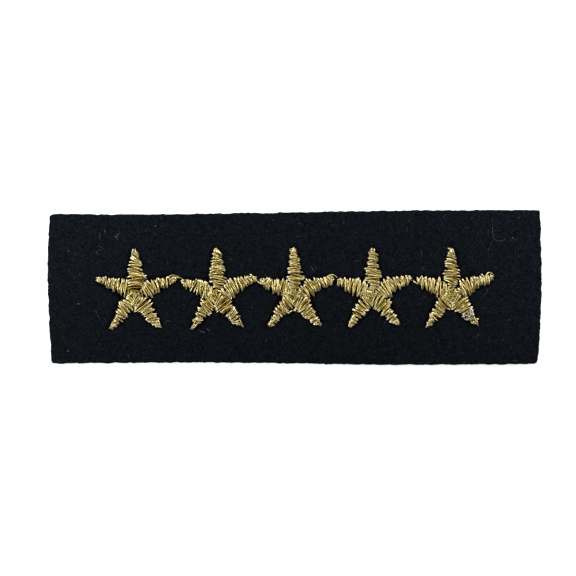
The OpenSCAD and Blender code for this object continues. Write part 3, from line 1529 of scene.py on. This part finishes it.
@dataclass
class Ground:
    """What a loose thread comes to lie on: the felt and the stitches. Sizes are in mm.

    Attributes:
        pieces: The pieces that it can lie on.
        spread: How far round a place the thread touches.
        above: A height over all of them.
    """

    pieces: list[Piece]
    spread: float = 0.08
    above: float = 10

    def height(self, x: float, y: float) -> float:
        """Finds how high the pieces reach at a place.

        Args:
            x: The place along X.
            y: The place along Y.

        Returns:
            The height.
        """
        best = 0.0
        for dx, dy in ((0, 0), (1, 0), (-1, 0), (0, 1), (0, -1)):
            start = Vector(((x + dx * self.spread) * MM, (y + dy * self.spread) * MM, self.above * MM))
            for piece in self.pieces:
                hit, place, _, _ = piece.ray_cast(start, Vector((0, 0, -1)))
                if hit:
                    best = max(best, place.z / MM)
        return best


@dataclass(frozen=True)
class LooseThread:
    """A thread that lies over the others by itself. Lengths are in mm.

    Attributes:
        stops: The places that it passes, each with how high its middle runs over
            what lies below it.
        thickness: Its thickness, as a share of its kind's.
        sunk_ends: Whether its first and its last end go down into the stitches.
        sink: How far such an end goes down.
    """

    stops: tuple[Point, ...]
    thickness: float = 1.0
    sunk_ends: tuple[bool, bool] = (True, True)
    sink: float = 0.35

    def path(self, ground: Ground) -> ThreadPath:
        """Lays the thread over the ground.

        Args:
            ground: What it lies on.

        Returns:
            Its path.
        """
        path = ThreadPath()
        last = len(self.stops) - 1
        for k, (x, y, lift) in enumerate(self.stops):
            height = ground.height(x, y) + lift
            if (k == 0 and self.sunk_ends[0]) or (k == last and self.sunk_ends[1]):
                height -= self.sink
            path.add((x * MM, y * MM, height * MM), self.thickness)
        return path


# Loose gold threads: cut ends, and stitches that stand out of the rows.
LOOSE_GOLD = (
    # Star 1: a cut end by the top arm, and an arc over the tip of the upper right arm
    LooseThread(((-36.6, 2.6, 0.1), (-36.1, 2.75, 0.15), (-35.6, 2.9, 0.25)), 1.2, (True, False)),
    LooseThread(
        ((-30.8, 2.2, 0.1), (-30.1, 2.65, 0.2), (-29.2, 2.95, 0.2), (-28.3, 2.7, 0.1), (-27.6, 2.3, 0.1)), 0.8
    ),
    LooseThread(((-28.6, 2.1, 0.1), (-27.8, 2.4, 0.15), (-27.0, 2.0, 0.15), (-26.4, 1.6, 0.1))),
    # Star 1: loops at the root of the lower arms
    LooseThread(((-39.7, -2.1, 0.1), (-39.3, -1.4, 0.2), (-38.7, -1.5, 0.2), (-38.6, -2.5, 0.1))),
    LooseThread(((-38.2, -2.6, 0.1), (-37.9, -1.7, 0.2), (-37.3, -1.6, 0.2), (-37.4, -2.6, 0.1))),
    # Star 2: the hook at the top
    LooseThread(
        ((-19.4, 8.9, 0.1), (-18.9, 9.4, 0.1), (-18.3, 8.8, 0.15), (-17.7, 8.0, 0.15), (-17.2, 7.1, 0.1)), 1.1
    ),
    LooseThread(((-18.7, 6.4, 0.1), (-18.1, 6.4, 0.25), (-17.7, 6.6, 0.2)), 1.2, (True, False)),
    # Stars 2 and 3: a short stitch between them
    LooseThread(((-9.0, 1.7, 0.1), (-8.5, 1.2, 0.15), (-7.8, 0.6, 0.1))),
    # Star 3: the pale stitch between the lower arms, and an arc over the upper right tip
    LooseThread(
        ((-2.0, -6.3, 0.15), (-1.3, -6.05, 0.3), (-0.6, -5.6, 0.35), (0.1, -5.45, 0.3), (0.45, -6.1, 0.15)),
        1.25,
    ),
    LooseThread(
        ((7.8, 2.6, 0.1), (8.5, 3.0, 0.2), (9.1, 3.05, 0.2), (9.8, 2.7, 0.15), (10.4, 2.2, 0.1)), 0.9
    ),
    # Stars 4 and 5: a short stitch between them
    LooseThread(((28.3, 1.8, 0.1), (28.9, 1.3, 0.15), (29.6, 0.8, 0.1))),
    # Star 5: a stitch at the root of the upper left arm, and a loop at the upper right tip
    LooseThread(((35.2, 1.6, 0.1), (35.8, 1.2, 0.15), (36.5, 0.5, 0.1)), 0.9),
    LooseThread(
        (
            *((45.7, 2.5, 0.1), (46.1, 3.2, 0.2), (46.55, 3.6, 0.3)),
            *((47.1, 3.45, 0.3), (47.7, 3.0, 0.2), (48.0, 2.5, 0.1)),
        ),
        0.85,
    ),
    # Star 5: the gold loop that the white one holds
    LooseThread(
        ((40.8, -7.1, 0.1), (40.8, -6.3, 0.25), (41.3, -5.8, 0.3), (41.7, -6.2, 0.25), (41.3, -6.9, 0.1))
    ),
)

# The white bobbin thread that was pulled up through the last star.
LOOSE_WHITE = (
    LooseThread(
        (
            *((42.1, -4.9, 0.1), (42.6, -5.5, 0.25), (42.7, -6.2, 0.4), (42.3, -6.9, 0.45)),
            *((41.8, -7.5, 0.4), (41.3, -7.75, 0.35), (40.75, -7.5, 0.35)),
            *((40.45, -6.9, 0.35), (40.7, -6.2, 0.3), (41.1, -5.9, 0.15)),
        ),
        1.15,
    ),
    LooseThread(
        ((42.4, -5.2, 0.1), (42.0, -5.8, 0.35), (42.3, -6.4, 0.4), (41.9, -7.0, 0.35), (41.6, -6.5, 0.15))
    ),
)

# Hairs and specks of lint on the felt: their thickness, and where each lies.
HAIRS = tuple(
    LooseThread(stops, thickness, (False, False))
    for thickness, *stops in (
        # Top right: the long bent hair, the fainter ones beside it and a speck
        (
            *(0.75, (47.5, 14.5, 0.06), (47.6, 12.8, 0.07)),
            *((48.0, 11.5, 0.06), (49.4, 11.1, 0.06), (50.7, 11.7, 0.06)),
        ),
        (0.4, (47.7, 11.2, 0.05), (47.0, 10.0, 0.05), (46.5, 8.7, 0.04)),
        (0.45, (46.6, 14.1, 0.05), (46.4, 13.5, 0.05), (46.5, 12.9, 0.04)),
        (2.0, (52.1, 12.0, 0.05), (52.3, 11.9, 0.08), (52.6, 11.7, 0.05)),
        # By the last star's upper right arm
        (0.45, (46.8, 0.1, 0.05), (46.1, -1.0, 0.06), (45.2, -2.2, 0.05)),
        # Between the stars, and specks on the left half
        (0.6, (30.5, 9.0, 0.03), (30.5, 8.0, 0.05), (30.3, 7.1, 0.03)),
        (1.0, (4.1, 5.2, 0.03), (4.3, 4.4, 0.06), (4.7, 3.8, 0.03)),
        (1.8, (-33.6, 14.9, 0.03), (-33.4, 14.7, 0.05), (-33.2, 14.8, 0.03)),
        (1.8, (-54.4, 8.8, 0.03), (-54.2, 8.7, 0.05), (-54.0, 8.8, 0.03)),
        (1.2, (-45.8, 14.0, 0.03), (-45.5, 13.6, 0.06), (-45.6, 13.2, 0.03)),
        (1.8, (-52.0, -3.8, 0.03), (-51.8, -4.0, 0.05), (-51.6, -4.0, 0.03)),
        # Top left: a small tuft, a straight hair and a curl
        (1.1, (-42.0, 13.0, 0.05), (-42.9, 12.3, 0.08), (-42.5, 11.5, 0.05)),
        (1.1, (-43.3, 12.4, 0.05), (-42.8, 12.1, 0.08), (-42.2, 12.4, 0.05)),
        (0.6, (-46.8, 13.2, 0.05), (-46.7, 12.3, 0.06), (-46.8, 11.5, 0.05)),
        (0.45, (-47.2, 10.0, 0.05), (-46.1, 9.5, 0.06), (-46.1, 8.8, 0.06), (-46.9, 9.0, 0.06)),
        (0.45, (-46.9, 9.0, 0.05), (-47.6, 8.4, 0.06), (-46.4, 7.7, 0.05)),
        # By the tips of the first two stars' lower arms
        (0.6, (-31.2, -8.9, 0.05), (-30.5, -8.0, 0.07), (-29.6, -8.3, 0.05)),
        (1.5, (-22.7, -10.5, 0.05), (-22.2, -10.6, 0.08), (-21.7, -10.8, 0.05)),
        (1.4, (-21.2, -9.9, 0.05), (-20.8, -10.1, 0.08), (-20.4, -10.4, 0.05)),
        # Left: a speck near the lower corner, and a hair by the first star
        (1.8, (-54.7, -15.3, 0.03), (-54.4, -15.3, 0.05), (-54.2, -15.1, 0.03)),
        (0.6, (-47.7, -5.5, 0.03), (-47.4, -6.4, 0.06), (-46.9, -7.2, 0.03)),
    )
)


def lay_loose(ground: Ground, needle: Needle, finishes: Finishes) -> list[Piece]:
    """Lays the loose threads, the white loop and the hairs over the patch.

    Args:
        ground: What they lie on.
        needle: Makes meshes of thread paths.
        finishes: The materials.

    Returns:
        The pieces.
    """
    rng = random.Random(6)
    pieces = []
    for name, threads, kind, material, slot in (
        ("loose_stitches", LOOSE_GOLD, GOLD, finishes.gold, Slot.GOLD),
        ("white_loop", LOOSE_WHITE, BOBBIN, finishes.white, Slot.WHITE),
        ("felt_hairs", HAIRS, HAIR, finishes.lint, Slot.FELT),
    ):
        piece = needle.sew(name, [thread.path(ground) for thread in threads], kind, rng)
        pieces.append(dress(piece, material))
    return pieces


# The soft lights: each one's name, where it hangs, its width and height, and how
# bright its face is.
SOFTBOXES = (
    ("key_left", (-0.35, 0.0, 0.21), (0.22, 0.20), 7.8),
    ("key_corner", (-0.25, 0.26, 0.21), (0.20, 0.18), 5.5),
    ("key_far", (0.02, 0.35, 0.21), (0.22, 0.18), 7.4),
    ("fill_right", (0.33, 0.14, 0.20), (0.22, 0.20), 7.0),
    ("fill_left", (-0.26, -0.24, 0.19), (0.18, 0.16), 0.5),
    ("fill_near", (0.0, -0.40, 0.16), (0.26, 0.10), 1.5),
)


@dataclass(frozen=True)
class Studio:
    """The floor, the soft lights and the camera that looks straight down."""

    view_width: float = 138.24 * MM
    view_middle: Span = (-1.58 * MM, -0.13 * MM)
    lens: float = 200.0
    floor_size: float = 3.0
    room: Colour = (1.0, 0.94, 0.85)
    room_brightness: float = 0.10

    def floor(self, finishes: Finishes) -> None:
        """Lays the pale floor under the patch.

        Args:
            finishes: The materials.
        """
        bpy.ops.mesh.primitive_plane_add(size=self.floor_size)
        floor = bpy.context.view_layer.objects.active
        floor.name = "floor"
        floor.data.materials.append(finishes.floor)

    def camera(self, face: float) -> None:
        """Hangs the camera over the patch.

        Args:
            face: The height of the felt's face, which the frame's width is measured at.
        """
        data = bpy.data.cameras.new("camera")
        data.lens = self.lens
        camera = new_object("camera", data)
        distance = self.view_width * self.lens / data.sensor_width
        camera.location = (*self.view_middle, face + distance)
        bpy.context.scene.camera = camera

    def softbox(self, name: str, place: Point, size: Span, radiance: float) -> None:
        """Hangs a softbox that faces the patch.

        Args:
            name: The light's name.
            place: Where it hangs.
            size: Its width and its height.
            radiance: How bright its face is.
        """
        data = bpy.data.lights.new(name, "AREA")
        data.shape = "RECTANGLE"
        data.size, data.size_y = size
        data.energy = radiance * math.pi * size[0] * size[1]
        light = new_object(name, data)
        light.location = place
        tilt = math.acos(place[2] / math.hypot(*place))
        light.rotation_euler = (tilt, 0, math.atan2(place[1], place[0]) + math.pi / 2)

    def light(self) -> None:
        """Hangs the lights and sets the room's own brightness."""
        for box in SOFTBOXES:
            self.softbox(*box)
        world = bpy.data.worlds.new("room")
        world.use_nodes = True
        background = world.node_tree.nodes["Background"].inputs
        background["Color"].default_value = rgba(self.room)
        background["Strength"].default_value = self.room_brightness
        bpy.context.scene.world = world
        bpy.context.scene.view_settings.view_transform = "Standard"


def report(piece: Piece) -> None:
    """Reports a piece's name and how many faces it has."""
    LOG.info("%s: %d faces", piece.name, len(piece.data.polygons))


def main() -> None:
    """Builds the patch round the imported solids."""
    logging.basicConfig(level=logging.INFO, format="%(message)s")
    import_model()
    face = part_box("felt_ground")[1].z
    finishes = Finishes.make()
    studio = Studio()
    studio.camera(face)
    stars = {number: read_star(number) for number in range(1, 6)}
    arms = [shape for star in stars.values() for shape in star.values()]
    felt = FeltStrip().build(arms, finishes)
    report(felt)
    kinds = ((NAP, finishes.nap), (PALE_LINT, finishes.lint), (EDGE_FUZZ, finishes.nap))
    for seed, (fibres, material) in enumerate(kinds):
        report(fibres.build(felt, material, seed))
    needle = Needle()
    sewn = [felt]
    for number, star in stars.items():
        for place, (arm, shape) in enumerate(star.items()):
            rng = random.Random(number * 10 + place)
            hand = OWN_HANDS.get((number, arm), HANDS[arm])
            satin = SatinArm(shape, hand, *SEATS[arm][number - 1], rng, face / MM)
            for piece in satin.build(f"{number}_{arm.value}", needle, finishes):
                sewn.append(piece)
                report(piece)
    for piece in lay_loose(Ground(sewn), needle, finishes):
        report(piece)
    studio.floor(finishes)
    studio.light()


if __name__ == "__main__":
    main()
